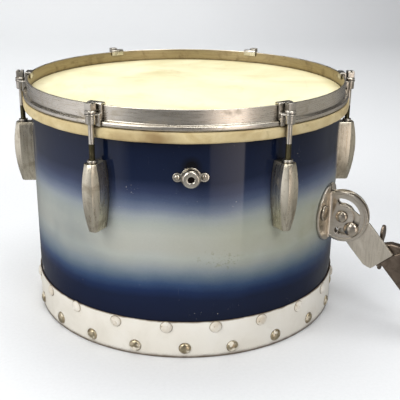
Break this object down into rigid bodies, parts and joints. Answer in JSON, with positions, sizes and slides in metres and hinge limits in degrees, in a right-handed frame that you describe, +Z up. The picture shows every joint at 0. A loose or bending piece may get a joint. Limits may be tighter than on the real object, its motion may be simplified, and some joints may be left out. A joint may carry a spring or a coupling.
{
  "type": "tom tom drum",
  "caption": "Rack tom tom with a lacquered shell, hooped calf batter head on claws and tension rods, tacked bottom head, turning muffler and tilting clamp-on holder.",
  "frame": {"origin": "centre of the bottom head's flat underside, on the drum's axis", "axes": "+Z up along the drum's axis, -Y towards the front, where the muffler knob is; the holder is on the +X side"},
  "size_m": [0.4542, 0.3478, 0.2514],
  "materials": {
    "lacquer": "gloss lacquer on wood, navy with a silver burst band",
    "wood": "satin",
    "calfskin": "satin calf skin",
    "hoop_skin": "matt skin tucked on a wooden hoop",
    "band_white": "painted skin",
    "nickel": "aged nickel plate",
    "steel": "worn plated steel",
    "felt": "felt",
    "bronze": "dark aged metal"
  },
  "bodies": {
    "drum": {"shell": "lacquer", "bottom_reinforcement_ring": "wood", "top_reinforcement_ring": "wood", "bottom_head": "band_white", "lug_1": "nickel", "lug_2": "nickel", "lug_3": "nickel", "lug_4": "nickel", "lug_5": "nickel", "lug_6": "nickel", "lug_nut_1": "steel", "lug_nut_2": "steel", "lug_nut_3": "steel", "lug_nut_4": "steel", "lug_nut_5": "steel", "lug_nut_6": "steel", "muffler_plate": "nickel", "muffler_screw_left": "steel", "muffler_screw_right": "steel", "muffler_bush": "steel", "holder_cheek_front": "nickel", "holder_cheek_back": "nickel", "holder_bolt_front": "nickel", "holder_bolt_back": "nickel", "holder_nut_front": "steel", "holder_nut_back": "steel", "pivot_bolt": "nickel", "pivot_nut": "steel"},
    "top_hoop": {"counter_hoop": "nickel", "flesh_hoop": "hoop_skin", "batter_head": "calfskin", "claw_1": "nickel", "claw_2": "nickel", "claw_3": "nickel", "claw_4": "nickel", "claw_5": "nickel", "claw_6": "nickel"},
    "rod_1": {"tension_rod_1": "steel"},
    "rod_2": {"tension_rod_2": "steel"},
    "rod_3": {"tension_rod_3": "steel"},
    "rod_4": {"tension_rod_4": "steel"},
    "rod_5": {"tension_rod_5": "steel"},
    "rod_6": {"tension_rod_6": "steel"},
    "muffler": {"muffler_knob": "nickel", "muffler_stem": "steel", "muffler_arm": "steel", "muffler_pad": "felt"},
    "tilt_arm": {"holder_arm": "nickel", "lock_bolt": "nickel", "swivel_stud": "steel"},
    "lock_nut": {"lock_wing_nut": "nickel"},
    "clamp": {"clamp_body": "bronze"},
    "swivel_nut": {"swivel_wing_nut": "bronze"},
    "jaw": {"clamp_jaw_pad": "bronze"},
    "jaw_screw": {"clamp_jaw_screw": "bronze"}
  },
  "joints": [
    {"name": "hoop_lift", "type": "slide", "parent": "drum", "child": "top_hoop", "axis": [0, 0, 1], "range_m": [0, 0.01]},
    {"name": "rod_1_turn", "type": "hinge", "parent": "top_hoop", "child": "rod_1", "pos_m": [-0.08845, -0.1532, 0.2], "axis": [0, 0, 1], "continuous": true},
    {"name": "rod_2_turn", "type": "hinge", "parent": "top_hoop", "child": "rod_2", "pos_m": [0.08845, -0.1532, 0.2], "axis": [0, 0, 1], "continuous": true},
    {"name": "rod_3_turn", "type": "hinge", "parent": "top_hoop", "child": "rod_3", "pos_m": [0.1769, 0, 0.2], "axis": [0, 0, 1], "continuous": true},
    {"name": "rod_4_turn", "type": "hinge", "parent": "top_hoop", "child": "rod_4", "pos_m": [0.08845, 0.1532, 0.2], "axis": [0, 0, 1], "continuous": true},
    {"name": "rod_5_turn", "type": "hinge", "parent": "top_hoop", "child": "rod_5", "pos_m": [-0.08845, 0.1532, 0.2], "axis": [0, 0, 1], "continuous": true},
    {"name": "rod_6_turn", "type": "hinge", "parent": "top_hoop", "child": "rod_6", "pos_m": [-0.1769, 0, 0.2], "axis": [0, 0, 1], "continuous": true},
    {"name": "muffler_turn", "type": "hinge", "parent": "drum", "child": "muffler", "pos_m": [0, -0.16, 0.186], "axis": [0, -1, 0], "range_deg": [0, 90]},
    {"name": "holder_tilt", "type": "hinge", "parent": "drum", "child": "tilt_arm", "pos_m": [0.15935, -0.08688, 0.1179], "axis": [-0.4787, -0.878, 0], "range_deg": [-10, 75]},
    {"name": "lock_nut_turn", "type": "hinge", "parent": "tilt_arm", "child": "lock_nut", "pos_m": [0.17163, -0.08674, 0.10601], "axis": [-0.4787, -0.878, 0], "range_deg": [0, 180]},
    {"name": "clamp_swivel", "type": "hinge", "parent": "tilt_arm", "child": "clamp", "pos_m": [0.19522, -0.0996, 0.07961], "axis": [-0.4787, -0.878, 0], "range_deg": [-8, 60]},
    {"name": "swivel_nut_turn", "type": "hinge", "parent": "tilt_arm", "child": "swivel_nut", "pos_m": [0.20192, -0.08731, 0.07961], "axis": [-0.4787, -0.878, 0], "range_deg": [0, 180]},
    {"name": "jaw_slide", "type": "slide", "parent": "clamp", "child": "jaw", "axis": [-0.5875, 0.3203, 0.7431], "range_m": [0, 0.0135]},
    {"name": "jaw_screw_turn", "type": "hinge", "parent": "jaw", "child": "jaw_screw", "pos_m": [0.24553, -0.12373, 0.04716], "axis": [-0.5875, 0.3203, 0.7431], "continuous": true}
  ],
  "couplings": [
    {"joint": "rod_1_turn", "follows": "hoop_lift", "rad_per_m": 5938.7},
    {"joint": "rod_2_turn", "follows": "hoop_lift", "rad_per_m": 5938.7},
    {"joint": "rod_3_turn", "follows": "hoop_lift", "rad_per_m": 5938.7},
    {"joint": "rod_4_turn", "follows": "hoop_lift", "rad_per_m": 5938.7},
    {"joint": "rod_5_turn", "follows": "hoop_lift", "rad_per_m": 5938.7},
    {"joint": "rod_6_turn", "follows": "hoop_lift", "rad_per_m": 5938.7},
    {"joint": "jaw_screw_turn", "follows": "jaw_slide", "rad_per_m": 5026.5}
  ]
}
